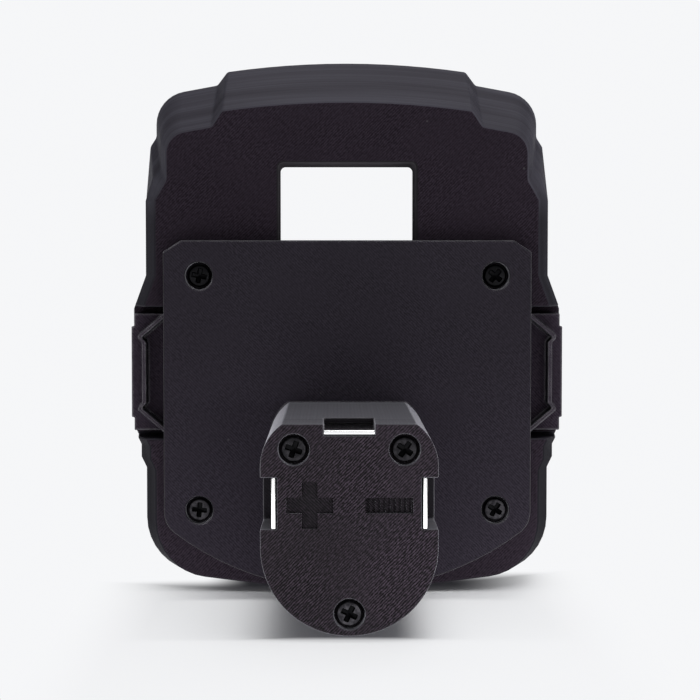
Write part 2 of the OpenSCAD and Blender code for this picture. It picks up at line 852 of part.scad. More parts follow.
// Upright blade at x, with chamfered corners where the pack slides on and a solder tail in the bay
module blade(x, high) {
    front = bay_floor_y - flange_t - blade_tail;
    tip = back_y + blade_proud;
    translate([x - blade_t / 2, 0, block_z]) rotate([90, 0, 90]) linear_extrude(blade_t) polygon([
        [front, -high / 2],
        [tip - blade_chamfer, -high / 2],
        [tip, -high / 2 + blade_chamfer],
        [tip, high / 2 - blade_chamfer],
        [tip - blade_chamfer, high / 2],
        [front, high / 2]
    ]);
}

module blade_positive() {
    color(plated) blade(-blade_x, blade_h);
}

module blade_negative() {
    color(plated) blade(blade_x, blade_h);
}

module blade_signal() {
    color(plated) blade(0, signal_h);
}

// Where the wires are soldered: along the contacts' tails and on the blades' tails
contact_end_y = stem_y + contact_len;
blade_end_y = bay_floor_y - flange_t - fit;
blade_start_y = blade_end_y - solder_len;

// How far the wires stray from a straight run
wire_sag = 1;

// Route of the right-hand power wire, from its stem contact back to its blade
contact_side_x = stem_w / 2 - contact_side_floor - wire_d / 2 - fit / 2;
blade_side_x = blade_x + blade_t / 2 + wire_d / 2 + fit / 2;
power_route = [
    [contact_side_x, contact_end_y - solder_len, contact_z],
    [contact_side_x, contact_end_y, contact_z],
    [contact_side_x - wire_sag, (contact_end_y + cover_y) / 2, contact_z],
    [blade_side_x, body_y, block_z - wire_sag],
    [blade_side_x, blade_start_y, block_z],
    [blade_side_x, blade_end_y, block_z]
];

// Route of the signal wire, from the top contact down to the middle blade's upper edge
top_side_z = stem_top - contact_top_floor - signal_wire_d / 2 - fit / 2;
blade_edge_z = block_z + signal_h / 2 + signal_wire_d / 2 + fit / 2;
signal_route = [
    [0, contact_end_y - solder_len, top_side_z],
    [0, contact_end_y, top_side_z],
    [0, (contact_end_y + cover_y) / 2, top_side_z - wire_sag],
    [0, body_y, (top_side_z + blade_edge_z) / 2],
    [0, blade_start_y, blade_edge_z],
    [0, blade_end_y, blade_edge_z]
];

module wire_negative() {
    color(black_lead) wire_along(power_route, wire_d);
}

module wire_positive() {
    color(red_lead) wire_along([for (p = power_route) [-p[0], p[1], p[2]]], wire_d);
}

module wire_signal() {
    color(yellow_lead) wire_along(signal_route, signal_wire_d);
}

body();
front_cover();
stem_cap();
contact_positive();
contact_negative();
contact_signal();
cap_screws();
cover_screws();
latch_left();
latch_right();
latch_spring_left();
latch_spring_right();
terminal_block();
terminal_block_screws();
blade_positive();
blade_negative();
blade_signal();
wire_positive();
wire_negative();
wire_signal();
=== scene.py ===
"""Looks of the tool battery adapter: printed plastic, black screws, plated contacts and leads.

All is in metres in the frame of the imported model: the stem points along -Y and the body
stands on z = 0.
"""

import math
from typing import NamedTuple

import bmesh
import bpy
import numpy as np
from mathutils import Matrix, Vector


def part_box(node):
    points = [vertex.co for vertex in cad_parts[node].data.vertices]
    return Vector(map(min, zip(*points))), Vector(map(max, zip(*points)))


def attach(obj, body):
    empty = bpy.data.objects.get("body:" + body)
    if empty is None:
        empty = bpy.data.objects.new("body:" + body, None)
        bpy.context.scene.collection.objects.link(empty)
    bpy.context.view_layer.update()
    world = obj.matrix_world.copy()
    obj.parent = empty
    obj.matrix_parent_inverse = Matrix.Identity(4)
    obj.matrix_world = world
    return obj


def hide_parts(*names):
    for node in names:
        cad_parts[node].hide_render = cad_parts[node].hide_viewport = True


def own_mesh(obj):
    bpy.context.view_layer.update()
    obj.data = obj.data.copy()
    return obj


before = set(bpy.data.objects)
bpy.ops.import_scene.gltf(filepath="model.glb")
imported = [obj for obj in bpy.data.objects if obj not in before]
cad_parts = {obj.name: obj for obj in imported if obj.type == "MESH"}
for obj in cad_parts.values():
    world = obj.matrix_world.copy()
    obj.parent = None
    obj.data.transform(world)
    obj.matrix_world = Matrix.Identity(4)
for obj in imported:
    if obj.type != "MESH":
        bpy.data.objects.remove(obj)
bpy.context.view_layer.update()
MM = 0.001
TURN = 2 * math.pi

# Sizes and places shared with the solids
PLATE_T = 5 * MM
STEM_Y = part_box("stem_cap")[0].y
BODY_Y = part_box("front_cover")[1].y
COVER_Y = BODY_Y - PLATE_T
HEAD_R = 2.6 * MM
HEAD_H = 1.8 * MM
SHANK_R = 1.3 * MM
CAP_SEAT = 2.4 * MM
CAP_SCREW_LEN = 20 * MM
CAP_SCREWS = [(-10.9 * MM, 38.1 * MM), (10.9 * MM, 38.1 * MM), (0.0, 5.6 * MM)]
COVER_SCREW_LEN = 12 * MM
UPPER_SEAT = 3.6 * MM
LOWER_SEAT = 2.3 * MM
COVER_SCREW_X = 33.5 * MM
COVER_SCREW_LOW = 18.7 * MM
COVER_SCREW_HIGH = 71.7 * MM
BLOCK_FLANGE_Y = 31.5 * MM
BLOCK_SCREW_LEN = 6 * MM
BLOCK_SCREWS = [(0.0, 22 * MM), (0.0, 44 * MM)]
SPRING_SEAT_X = 22 * MM
SPRING_Y = 25.05 * MM
SPRING_Z = 49.5 * MM
SPRING_R = 2.8 * MM
SPRING_WIRE_R = 0.3 * MM
SPRING_LEN = 14.7 * MM


# Node helpers

class Fade(NamedTuple):
    """Share of a tone that goes smoothly from first to last between two places on an axis."""

    axis: str
    start: float
    end: float
    first: float
    last: float


class Tree:
    """Adds nodes to a node tree: inputs are linked if they are sockets and set if they are values."""

    def __init__(self, tree):
        self.tree = tree

    def put(self, value, socket):
        if isinstance(value, bpy.types.NodeSocket):
            self.tree.links.new(value, socket)
        else:
            socket.default_value = value

    def add(self, kind, inputs=None, **settings):
        node = self.tree.nodes.new(kind)
        for name, value in settings.items():
            setattr(node, name, value)
        for name, value in (inputs or {}).items():
            self.put(value, node.inputs[name])
        return node

    def math(self, operation, a, b=0.0, clamp=False):
        node = self.add("ShaderNodeMath", {0: a, 1: b}, operation=operation, use_clamp=clamp)
        return node.outputs[0]

    def total(self, first, *others):
        for other in others:
            first = self.math("ADD", first, other)
        return first

    def product(self, first, *others):
        for other in others:
            first = self.math("MULTIPLY", first, other)
        return first

    def rest(self, share):
        """What a share leaves of 1."""
        return self.math("SUBTRACT", 1.0, share)

    def ramp(self, value, low, high, first=0.0, last=1.0):
        """Smooth step from first to last while value goes from low to high."""
        inputs = {"Value": value, "From Min": low, "From Max": high, "To Min": first, "To Max": last}
        return self.add("ShaderNodeMapRange", inputs, interpolation_type="SMOOTHSTEP").outputs["Result"]

    def parts(self, vector):
        return self.add("ShaderNodeSeparateXYZ", {0: vector}).outputs

    def combined(self, **axes):
        return self.add("ShaderNodeCombineXYZ", axes).outputs[0]

    def vector(self, operation, a, b=(0.0, 0.0, 0.0), output="Vector"):
        return self.add("ShaderNodeVectorMath", {0: a, 1: b}, operation=operation).outputs[output]

    def scaled(self, vector, factors):
        return self.vector("MULTIPLY", vector, factors)

    def dimmed(self, colour, share):
        inputs = {0: colour, "Scale": share}
        return self.add("ShaderNodeVectorMath", inputs, operation="SCALE").outputs[0]

    def faded(self, colour, part, fade):
        """Colour dimmed by a fade along one of the parts of a place."""
        share = self.ramp(part[fade.axis], fade.start, fade.end, fade.first, fade.last)
        return self.dimmed(colour, share)

    def mix(self, factor, a, b):
        node = self.add("ShaderNodeMix", data_type="RGBA")
        for name, value, kind in (("Factor", factor, "VALUE"), ("A", a, "RGBA"), ("B", b, "RGBA")):
            self.put(value, next(s for s in node.inputs if s.name == name and s.type == kind))
        return next(s for s in node.outputs if s.type == "RGBA")

    def noise(self, vector, scale, detail=3.0):
        inputs = {"Vector": vector, "Scale": scale, "Detail": detail}
        return self.add("ShaderNodeTexNoise", inputs).outputs["Fac"]

    def group(self, group, inputs):
        return self.add("ShaderNodeGroup", inputs, node_tree=group).outputs


FLOAT = "NodeSocketFloat"
VECTOR = "NodeSocketVector"
SOFT_DETAIL = 2.0


def new_group(name, inputs, outputs):
    """Empty shader group with named sockets: its tree helper, its inputs and its outputs."""
    tree = bpy.data.node_groups.new(name, "ShaderNodeTree")
    for label, kind in inputs.items():
        tree.interface.new_socket(name=label, in_out="INPUT", socket_type=kind)
    for label in outputs:
        tree.interface.new_socket(name=label, in_out="OUTPUT", socket_type=FLOAT)
    t = Tree(tree)
    return t, t.add("NodeGroupInput").outputs, t.add("NodeGroupOutput").inputs


# Each TONE is the stretch of a pattern's values that a ramp spreads over 0 to 1
FRONT_SHARE = (0.8, 0.97)


def print_faces_group():
    """Which way a face looks: Front is 1 where it is square to the print's Y axis and 0 on its sides."""
    t, _, out = new_group("print_faces", {}, ["Front"])
    normal = t.add("ShaderNodeNewGeometry").outputs["True Normal"]
    along = t.math("ABSOLUTE", t.parts(normal)["Y"])
    t.put(t.ramp(along, *FRONT_SHARE), out["Front"])
    return t.tree


FINE_RUN = 22.0
FINE_SCALE = 0.55
FINE_SHARE = 0.25
BROAD_SCALE = (12.0, 620.0, 12.0)
BAND_SCALE = (12.0, 230.0, 12.0)
BAND_SHARE = 0.5
LAYER_TONE = (0.36, 0.64)


def layer_lines_group():
    """Print layers, stacked along Y: noise drawn out across Y, at the layer's height and coarser."""
    inputs = {"Vector": VECTOR, "Layer": FLOAT}
    t, given, out = new_group("layer_lines", inputs, ["Height", "Tone"])
    place = given["Vector"]
    stretch = t.combined(X=FINE_RUN, Y=t.math("DIVIDE", 1.0, given["Layer"]), Z=FINE_RUN)
    fine = t.noise(t.scaled(place, stretch), FINE_SCALE, SOFT_DETAIL)
    broad = t.noise(t.scaled(place, BROAD_SCALE), 1.0, SOFT_DETAIL)
    bands = t.noise(t.scaled(place, BAND_SCALE), 1.0, SOFT_DETAIL)
    tone = t.total(t.product(t.total(fine, broad), FINE_SHARE), t.product(bands, BAND_SHARE))
    t.put(t.total(fine, bands), out["Height"])
    t.put(t.ramp(tone, *LAYER_TONE), out["Tone"])
    return t.tree


STROKE_WOBBLE = 0.9
STROKE_RUN = 1.4
STROKE_SWING = 1.6
WOBBLE_SCALE = 700.0
STREAK_SCALE = 0.9
STREAK_TONE = (0.3, 0.7)
PATCH_SCALE = 110.0
PATCH_TONE = (0.35, 0.65)


def raster_hatch_group():
    """Top-layer strokes: a sine across their direction in X and Z, bent by noise and streaked.

    The wobble is in strokes, and the streaks run on for STROKE_RUN pitches along a stroke.
    """
    inputs = {"Vector": VECTOR, "Angle": FLOAT, "Pitch": FLOAT}
    t, given, out = new_group("raster_hatch", inputs, ["Height", "Tone"])
    place = given["Vector"]
    part = t.parts(place)
    cos = t.math("COSINE", given["Angle"])
    sin = t.math("SINE", given["Angle"])
    across = t.total(t.product(part["X"], cos), t.product(part["Z"], sin))
    along = t.math("SUBTRACT", t.product(part["Z"], cos), t.product(part["X"], sin))
    bend = t.noise(place, WOBBLE_SCALE, SOFT_DETAIL)
    wobble = t.product(t.math("SUBTRACT", bend, 0.5), STROKE_WOBBLE)
    strokes = t.total(t.math("DIVIDE", across, given["Pitch"]), wobble)
    run = t.math("DIVIDE", along, t.product(given["Pitch"], STROKE_RUN))
    ridge = t.total(t.product(t.math("SINE", t.product(strokes, TURN)), 0.5), 0.5)
    streak = t.ramp(t.noise(t.combined(X=strokes, Y=run), STREAK_SCALE), *STREAK_TONE)
    patchy = t.ramp(t.noise(place, PATCH_SCALE), *PATCH_TONE)
    shown = t.total(t.product(patchy, 0.5), 0.5)
    tone = t.total(t.product(ridge, 0.5), t.product(streak, 0.5))
    swing = t.product(t.math("SUBTRACT", tone, 0.5), t.product(shown, STROKE_SWING))
    t.put(t.product(ridge, shown), out["Height"])
    t.put(t.math("ADD", swing, 0.5, clamp=True), out["Tone"])
    return t.tree


EDGE_BEND = (0.01, 0.16)
HIGHLIGHT_UP = (0.1, 0.4)
EDGE_BREAK_SCALE = 420.0
EDGE_BREAK_TONE = (0.25, 0.6)
EDGE_BREAK_LEAST = 0.4


def rub_and_highlight_group():
    """Edge rubbing with a painted highlight: where the normal rounded over a radius leaves the face's
    own, broken by noise.

    Edges that look up carry the painted highlight in full, and those that look sideways or down keep
    the share Level of the mask.
    """
    inputs = {"Vector": VECTOR, "Radius": FLOAT, "Level": FLOAT}
    t, given, out = new_group("edge_rub_and_highlight", inputs, ["Mask"])
    round_normal = t.add("ShaderNodeBevel", {"Radius": given["Radius"]}, samples=4).outputs["Normal"]
    normal = t.add("ShaderNodeNewGeometry").outputs["Normal"]
    match = t.vector("DOT_PRODUCT", round_normal, normal, "Value")
    edge = t.ramp(t.rest(match), *EDGE_BEND)
    broken = t.ramp(t.noise(given["Vector"], EDGE_BREAK_SCALE), *EDGE_BREAK_TONE, EDGE_BREAK_LEAST, 1.0)
    # Painted highlight: the mask is strongest on edges that look up
    up = t.ramp(t.parts(round_normal)["Z"], *HIGHLIGHT_UP)
    kept = t.total(t.product(up, t.rest(given["Level"])), given["Level"])
    t.put(t.product(edge, kept, broken), out["Mask"])
    return t.tree


SPECK_EDGE = (0.04, 0.1)
SPECK_SCALE = 190.0
SPECK_TONE = (0.6, 0.7)


def specks_group():
    """Dust: the hearts of the cells of a fine Voronoi pattern, kept where noise is high."""
    t, given, out = new_group("dust_specks", {"Vector": VECTOR, "Spacing": FLOAT}, ["Mask"])
    inputs = {"Vector": given["Vector"], "Scale": t.math("DIVIDE", 1.0, given["Spacing"])}
    cell = t.add("ShaderNodeTexVoronoi", inputs).outputs["Distance"]
    some = t.ramp(t.noise(given["Vector"], SPECK_SCALE, SOFT_DETAIL), *SPECK_TONE)
    t.put(t.product(t.rest(t.ramp(cell, *SPECK_EDGE)), some), out["Mask"])
    return t.tree


PRINT_FACES = print_faces_group()
LAYER_LINES = layer_lines_group()
RASTER_HATCH = raster_hatch_group()
RUB_AND_HIGHLIGHT_GROUP = rub_and_highlight_group()
DUST_SPECKS = specks_group()


# Materials

def new_material(name):
    """Material with a Principled shader: it, its tree helper, the object's place and the inputs."""
    material = bpy.data.materials.new(name)
    material.use_nodes = True
    material.node_tree.nodes.clear()
    t = Tree(material.node_tree)
    place = t.add("ShaderNodeTexCoord").outputs["Object"]
    shader = t.add("ShaderNodeBsdfPrincipled")
    output = t.add("ShaderNodeOutputMaterial")
    t.put(shader.outputs[0], output.inputs["Surface"])
    return material, t, place, shader.inputs


class RubAndHighlight(NamedTuple):
    """Share, colour and reach of edge rubbing that also stands in for a painted highlight, with the level
    of edges that don't look up.
    """

    share: float
    colour: tuple
    level: float
    reach: float


class Walls(NamedTuple):
    """Walls of openings near the middle, between two heights, left out of the edge rubbing.

    Their own colour, with an optional fade, is painted light on the window's walls, dimmed towards
    their front edge, and painted shade on the walls of the cap's slots. A share says how far the
    ridges of the layers turn their normals to the front.
    """

    half_x: float
    low: float
    high: float
    colour: tuple
    fade: Fade
    turn: float


SIDE_DARK = (0.013, 0.012, 0.015, 1.0)
SIDE_LIGHT = (0.031, 0.030, 0.037, 1.0)
# Painted light on the walls of the window
WINDOW_WALL_LIT = (0.068, 0.063, 0.071)
# Painted shade for sunk faces, the ends of slots and the walls of the cap's slots
PRINT_SHADE = (0.0015, 0.001, 0.002, 1.0)
# Colours of edge rubbing, which also stands in for a painted highlight
PRINT_RUB_AND_HIGHLIGHT = (0.110, 0.106, 0.116, 1.0)
EDGE_RUB_AND_HIGHLIGHT = (0.190, 0.184, 0.200, 1.0)
TOP_RUB_AND_HIGHLIGHT = (0.360, 0.350, 0.375, 1.0)
PRINT_DUST = (0.11, 0.108, 0.112, 1.0)
SHEEN_ROUGH = 0.35
SHEEN_TINT = (0.92, 0.91, 1.0, 1.0)
LAYER_H = 0.2 * MM
DUST_SPACING = 3.4 * MM
DUST_SHARE = 0.3
CLOUD_SCALE = 30.0
CLOUD_TONE = (0.3, 0.7)
CLOUD_SHARE = 0.15
# How far a normal looks up, for the painted light on sides that look up and the painted shade on those that
# don't
TOP_TILT = (0.35, 0.75)
# Share of painted shade at the ends of slots
SLOT_END_SHADE = 0.7
ROUGHEST = 0.6
STROKE_SHINE = 0.1
SIDE_SHINE = 0.14
BUMP_DEPTH = 0.06 * MM
BUMP_STRENGTH = 0.8


def printed_plastic(name, angle, pitch, deep, bright, hatch, layers, rub_and_highlight, walls=None, sunk=None, ahead=None,
                    side_light_fades=(), front_light_fade=None, top_light=None, flank_shade=None, gloss=0.01, sheen=0.0,
                    contrast=1.0):
    """Black printed plastic: strokes on its faces, layers on its sides, edge rubbing and dust, with
    painted light and shade and a painted highlight on the edges.

    The strokes run at an angle with a pitch, between a deep and a bright colour. The shares hatch
    and layers say how far strokes and layers stand out. Faces deeper than sunk, a depth along Y
    with a share of painted shade, show the crossing strokes of the layer below, and faces ahead of
    a depth, the ends of slots, get painted shade. One share paints light on sides that look up, and a
    depth with another share paints shade on the sides behind it that don't look up. The fades on
    sides and fronts paint light and shade along an axis, and walls have their own painted colour.
    """
    material, t, place, shader = new_material(name)
    part = t.parts(place)
    normal = t.add("ShaderNodeNewGeometry").outputs["Normal"]
    upward = t.ramp(t.parts(normal)["Z"], *TOP_TILT)
    front = t.group(PRINT_FACES, {})["Front"]
    side = t.rest(front)
    stack = t.group(LAYER_LINES, {"Vector": place, "Layer": LAYER_H})
    strokes = t.group(RASTER_HATCH, {"Vector": place, "Angle": angle, "Pitch": pitch})
    rubbed_and_lit = t.group(RUB_AND_HIGHLIGHT_GROUP, {"Vector": place, "Radius": rub_and_highlight.reach, "Level": rub_and_highlight.level})["Mask"]
    dust = t.group(DUST_SPECKS, {"Vector": place, "Spacing": DUST_SPACING})["Mask"]
    cloud = t.ramp(t.noise(place, CLOUD_SCALE), *CLOUD_TONE)
    if walls:
        within = t.product(t.math("LESS_THAN", t.math("ABSOLUTE", part["X"]), walls.half_x),
                           t.math("GREATER_THAN", part["Z"], walls.low),
                           t.math("LESS_THAN", part["Z"], walls.high))
        rubbed_and_lit = t.product(rubbed_and_lit, t.rest(within))
        wall = t.product(within, side)

    # Faces: strokes, and those of the layer below where the face is sunk
    stroke_tone = strokes["Tone"]
    stroke_height = strokes["Height"]
    if sunk:
        below = t.product(t.ramp(part["Y"], sunk[0], sunk[0] + LAYER_H), front)
        turned = {"Vector": place, "Angle": angle + TURN / 4, "Pitch": pitch}
        crossing = t.group(RASTER_HATCH, turned)
        change = t.math("SUBTRACT", crossing["Tone"], stroke_tone)
        stroke_tone = t.total(stroke_tone, t.product(below, change))
        change = t.math("SUBTRACT", crossing["Height"], stroke_height)
        stroke_height = t.total(stroke_height, t.product(below, change))
    tone = t.total(t.product(stroke_tone, 1.0 - CLOUD_SHARE), t.product(cloud, CLOUD_SHARE))
    tone = t.math("POWER", tone, contrast)
    front_colour = t.mix(tone, deep, bright)
    # Painted light from below: fronts are lighter low down
    if front_light_fade:
        front_colour = t.faded(front_colour, part, front_light_fade)

    # Sides: layers, with painted light and shade along an axis, painted light where they look up and
    # painted shade behind a depth
    layer_tone = t.total(t.product(t.math("SUBTRACT", stack["Tone"], 0.5), layers), 0.5)
    layer_colour = t.mix(layer_tone, SIDE_DARK, SIDE_LIGHT)
    side_colour = layer_colour
    # Painted light and shade along an axis
    for fade in side_light_fades:
        side_colour = t.faded(side_colour, part, fade)
    # Painted light on sides that look up
    if top_light:
        side_colour = t.mix(upward, side_colour, t.dimmed(layer_colour, top_light))
    # Painted shade on sides behind a depth that don't look up
    if flank_shade:
        shaded_flank = t.product(t.rest(upward), t.math("GREATER_THAN", part["Y"], flank_shade[0]))
        side_colour = t.mix(shaded_flank, side_colour, t.dimmed(side_colour, flank_shade[1]))

    colour = t.mix(front, side_colour, front_colour)
    # Edge rubbing, which also stands in for a painted highlight
    colour = t.mix(t.product(rubbed_and_lit, rub_and_highlight.share), colour, rub_and_highlight.colour)
    colour = t.mix(t.product(dust, DUST_SHARE), colour, PRINT_DUST)
    # Painted shade on sunk faces
    if sunk:
        colour = t.mix(t.product(below, sunk[1]), colour, PRINT_SHADE)
    # Painted shade on the ends of slots
    if ahead:
        slot_end = t.product(t.math("LESS_THAN", part["Y"], ahead), front)
        colour = t.mix(t.product(slot_end, SLOT_END_SHADE), colour, PRINT_SHADE)
    shine = t.total(t.product(tone, STROKE_SHINE), t.product(side, SIDE_SHINE))
    height = t.total(t.product(stroke_height, front, hatch), t.product(stack["Height"], side, layers))
    relief = {"Height": height, "Distance": BUMP_DEPTH, "Strength": BUMP_STRENGTH}
    # The walls' own colour: painted light on the window's walls, painted shade in the cap's slots
    if walls:
        wall_colour = walls.colour
        if walls.fade:
            wall_colour = t.faded(wall_colour, part, walls.fade)
        colour = t.mix(wall, colour, wall_colour)
        if walls.turn:
            tilt = t.combined(Y=t.product(wall, -walls.turn))
            relief["Normal"] = t.vector("NORMALIZE", t.vector("ADD", normal, tilt))
    bump = t.add("ShaderNodeBump", relief)
    t.put(colour, shader["Base Color"])
    t.put(t.math("SUBTRACT", ROUGHEST, shine), shader["Roughness"])
    t.put(bump.outputs[0], shader["Normal"])
    shader["Specular IOR Level"].default_value = gloss
    shader["Sheen Weight"].default_value = sheen
    shader["Sheen Roughness"].default_value = SHEEN_ROUGH
    shader["Sheen Tint"].default_value = SHEEN_TINT
    return material


PLATE_BRIGHT = (0.94, 0.94, 0.935, 1.0)
PLATE_MARK = (0.80, 0.79, 0.77, 1.0)
# Painted shade on the strips behind their front ends
PLATE_SHADE = (0.26, 0.25, 0.24, 1.0)
PLATE_ROUGH = 0.08
BRUSH_SCALE = (3200.0, 60.0, 3200.0)
BRUSH_ROUGH = 0.08
MARK_SCALE = 300.0
MARK_TONE = (0.62, 0.8)
MARK_ROUGH = 0.12


def plated_metal(name, shade_from=None):
    """Bright plated strip: brushed along Y, with a few dull marks, and painted shade behind a given depth.
    """
    material, t, place, shader = new_material(name)
    brushed = t.noise(t.scaled(place, BRUSH_SCALE), 1.0)
    dull = t.ramp(t.noise(place, MARK_SCALE), *MARK_TONE)
    colour = t.mix(dull, PLATE_BRIGHT, PLATE_MARK)
    if shade_from:
        # Painted shade behind the front end
        colour = t.mix(t.ramp(t.parts(place)["Y"], shade_from, shade_from + MM), colour, PLATE_SHADE)
    t.put(colour, shader["Base Color"])
    rough = t.total(t.product(brushed, BRUSH_ROUGH), t.product(dull, MARK_ROUGH), PLATE_ROUGH)
    t.put(rough, shader["Roughness"])
    shader["Metallic"].default_value = 1.0
    return material


OXIDE_DARK = (0.018, 0.017, 0.020, 1.0)
OXIDE_LIGHT = (0.072, 0.068, 0.076, 1.0)
# Edge rubbing on the heads, which also stands in for a painted highlight
OXIDE_RUB_AND_HIGHLIGHT = (0.26, 0.26, 0.27, 1.0)
# Painted shade in the recess and on higher screws
OXIDE_SHADE = (0.003, 0.003, 0.0035, 1.0)
OXIDE_ROUGH = 0.3
OXIDE_METAL = 0.85
OXIDE_GLOSS = 0.2
HEAD_RUB_AND_HIGHLIGHT = RubAndHighlight(0.35, OXIDE_RUB_AND_HIGHLIGHT, 1.0, 0.12 * MM)
MOTTLE_SCALE = 900.0
MOTTLE_TONE = (0.35, 0.7)
MOTTLE_ROUGH = 0.14
RECESS_TONE = (0.1, 0.35)
# Height where the painted shade on the screws is full, and the power it grows by
SHADE_FULL_Z = 77 * MM
SHADE_POWER = 0.62


def blackened_steel(name):
    """Black oxide on steel: edge rubbing that also stands in for a painted highlight, painted shade in
    the recess, and more painted shade on higher screws.
    """
    material, t, place, shader = new_material(name)
    edge_inputs = {"Vector": place, "Radius": HEAD_RUB_AND_HIGHLIGHT.reach, "Level": HEAD_RUB_AND_HIGHLIGHT.level}
    rubbed_and_lit = t.group(RUB_AND_HIGHLIGHT_GROUP, edge_inputs)["Mask"]
    mottle = t.ramp(t.noise(place, MOTTLE_SCALE), *MOTTLE_TONE)
    colour = t.mix(mottle, OXIDE_DARK, OXIDE_LIGHT)
    colour = t.mix(t.product(rubbed_and_lit, HEAD_RUB_AND_HIGHLIGHT.share), colour, HEAD_RUB_AND_HIGHLIGHT.colour)
    # Painted shade that grows with height, most on the highest screws
    raised = t.math("DIVIDE", t.parts(place)["Z"], SHADE_FULL_Z, clamp=True)
    height_shade = t.math("POWER", raised, SHADE_POWER)
    # Painted shade in the cross recess
    recess = t.add("ShaderNodeAttribute", attribute_name="recess").outputs["Fac"]
    dark = t.math("MAXIMUM", height_shade, t.ramp(recess, *RECESS_TONE))
    t.put(t.mix(dark, colour, OXIDE_SHADE), shader["Base Color"])
    t.put(t.total(t.product(mottle, MOTTLE_ROUGH), OXIDE_ROUGH), shader["Roughness"])
    shader["Metallic"].default_value = OXIDE_METAL
    shader["Specular IOR Level"].default_value = OXIDE_GLOSS
    return material


WIRE_DARK = (0.34, 0.35, 0.36, 1.0)
WIRE_LIGHT = (0.52, 0.53, 0.54, 1.0)
DRAW_SCALE = 1800.0
WIRE_ROUGH = 0.2
DRAW_ROUGH = 0.2


def drawn_wire(name):
    """Spring steel wire: grey with fine drawing marks."""
    material, t, place, shader = new_material(name)
    marks = t.noise(place, DRAW_SCALE)
    t.put(t.mix(marks, WIRE_DARK, WIRE_LIGHT), shader["Base Color"])
    t.put(t.total(t.product(marks, DRAW_ROUGH), WIRE_ROUGH), shader["Roughness"])
    shader["Metallic"].default_value = 1.0
    return material


TINNED = (0.62, 0.63, 0.64, 1.0)
SCUFF_SCALE = 700.0
SCUFF_DARK = 0.7
SCUFF_ROUGH = 0.2
SKIN_ROUGH = 0.35


def lead_insulation(name, colour, y_start, y_end):
    """Soft insulation with tinned ends: bare metal in front of y_start and behind y_end."""
    material, t, place, shader = new_material(name)
    y = t.parts(place)["Y"]
    bare = t.math("ADD", t.math("LESS_THAN", y, y_start), t.math("GREATER_THAN", y, y_end), clamp=True)
    scuff = t.noise(place, SCUFF_SCALE)
    deep = tuple(SCUFF_DARK * c for c in colour[:3]) + (1.0,)
    t.put(t.mix(bare, t.mix(scuff, deep, colour), TINNED), shader["Base Color"])
    t.put(bare, shader["Metallic"])
    t.put(t.total(t.product(scuff, SCUFF_ROUGH), SKIN_ROUGH), shader["Roughness"])
    return material


STROKE_UP = math.radians(135)
STROKE_DOWN = math.radians(45)
# Body: painted light and shade on its sides by height and where they look up, painted light low on its
# fronts and on its window walls
BODY_PLASTIC = printed_plastic(
    "print_body", STROKE_UP, 0.5 * MM, (0.0105, 0.008, 0.011, 1.0), (0.030, 0.023, 0.032, 1.0),
    hatch=0.4, layers=0.6, rub_and_highlight=RubAndHighlight(0.9, EDGE_RUB_AND_HIGHLIGHT, 1.0, 0.35 * MM),
    walls=Walls(16.4 * MM, 76 * MM, 98 * MM, WINDOW_WALL_LIT,
                Fade("Y", BODY_Y, BODY_Y + 3 * MM, 0.3, 1.2), turn=1.0),
    side_light_fades=[Fade("Z", 25 * MM, 60 * MM, 0.8, 1.1), Fade("Z", 83 * MM, 93 * MM, 1.0, 2.4)],
    top_light=2.05, front_light_fade=Fade("Z", 25 * MM, 70 * MM, 1.45, 1.0), gloss=0.002)
# Cover: painted light towards the stem's front and low on the fronts, painted shade on slot ends, sunk
# faces and sides behind the plate's face that don't look up, and a painted highlight on edges that look up
COVER_PLASTIC = printed_plastic(
    "print_cover", STROKE_DOWN, 0.5 * MM, (0.007, 0.005, 0.0095, 1.0), (0.022, 0.017, 0.027, 1.0),
    hatch=0.4, layers=0.9, rub_and_highlight=RubAndHighlight(1.0, TOP_RUB_AND_HIGHLIGHT, 0.07, 0.5 * MM),
    sunk=(COVER_Y + 0.6 * MM, 0.6), ahead=-20 * MM, flank_shade=(8.2 * MM, 0.2),
    side_light_fades=[Fade("Y", -44 * MM, 8 * MM, 1.4, 0.8)],
    front_light_fade=Fade("Z", 12 * MM, 74 * MM, 1.27, 0.8), gloss=0.12, sheen=0.5)
# Cap: painted light on its sides near the front, and painted shade on the walls of its slots and on sunk
# faces
CAP_PLASTIC = printed_plastic(
    "print_cap", STROKE_UP, 0.47 * MM, (0.001, 0.0006, 0.001, 1.0), (0.056, 0.040, 0.058, 1.0),
    hatch=2.0, layers=0.9, rub_and_highlight=RubAndHighlight(0.7, PRINT_RUB_AND_HIGHLIGHT, 1.0, 0.35 * MM),
    walls=Walls(13.2 * MM, 22 * MM, 32.2 * MM, PRINT_SHADE, fade=None, turn=0.0),
    sunk=(STEM_Y + 0.12 * MM, 0.62), side_light_fades=[Fade("Y", STEM_Y, STEM_Y + 5 * MM, 1.9, 1.3)],
    gloss=0.12, sheen=0.5, contrast=2.0)
LATCH_PLASTIC = printed_plastic(
    "print_latch", STROKE_DOWN, 0.5 * MM, (0.018, 0.013, 0.020, 1.0), (0.044, 0.035, 0.048, 1.0),
    hatch=0.4, layers=0.5, rub_and_highlight=RubAndHighlight(1.0, EDGE_RUB_AND_HIGHLIGHT, 1.0, 0.8 * MM))
# The contact strips take painted shade behind their front ends, in the slots
CONTACT_METAL = plated_metal("contact_plating", STEM_Y + 0.8 * MM)
BLADE_METAL = plated_metal("blade_plating")
SCREW_STEEL = blackened_steel("screw_black")
SPRING_STEEL = drawn_wire("spring_wire")


# Meshes

SOLID_MERGE = 0.001 * MM
GRID_MERGE = 0.002 * MM
FLAT_ANGLE = math.radians(0.4)
EDGE_ANGLE = math.radians(28)
CARVED_ANGLE = math.radians(20)
GRID_ANGLE = math.radians(50)
SQUARE_TO_Y = 0.9999


